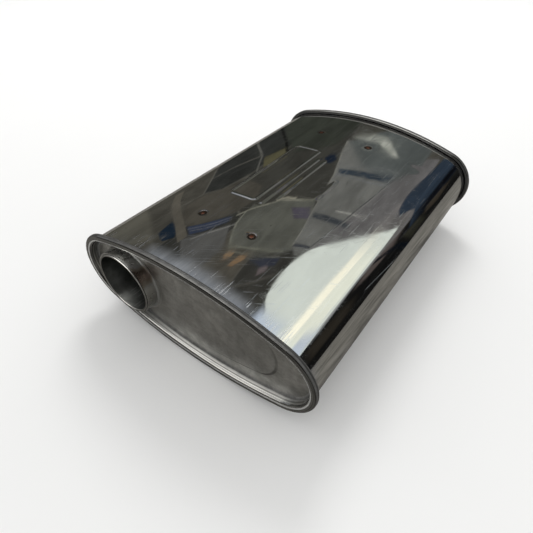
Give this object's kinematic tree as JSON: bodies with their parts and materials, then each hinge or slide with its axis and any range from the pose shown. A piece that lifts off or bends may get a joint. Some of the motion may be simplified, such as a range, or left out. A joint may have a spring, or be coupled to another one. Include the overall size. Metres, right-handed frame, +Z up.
{
  "type": "oval exhaust muffler",
  "caption": "Oval exhaust muffler with a wrapped polished shell, end caps rolled on in folded seams, offset pipe ports, and slotted tubes held in welded baffles.",
  "frame": {"origin": "middle of the body, level with the axes of the pipe ports", "axes": "+Y along the gas flow from the inlet end to the outlet end, +Z up as it lies on its belly, X across the oval with the inlet port on -X"},
  "size_m": [0.256, 0.3556, 0.105],
  "materials": {
    "polished_shell": "mirror-polished steel with fine scratches and bluish scuffs",
    "pressed_cap": "dull pressed steel, satin along the rolled seam, heat tint by the neck",
    "tube_steel": "dull drawn steel",
    "baffle_steel": "dull pressed steel",
    "weld": "rippled weld bead"
  },
  "bodies": {
    "root": {"shell": "polished_shell", "shell_seam_weld": "weld", "inlet_end_cap": "pressed_cap", "outlet_end_cap": "pressed_cap", "inlet_baffle": "baffle_steel", "outlet_baffle": "baffle_steel", "inlet_tube": "tube_steel", "return_tube": "tube_steel", "outlet_tube": "tube_steel"}
  },
  "joints": []
}
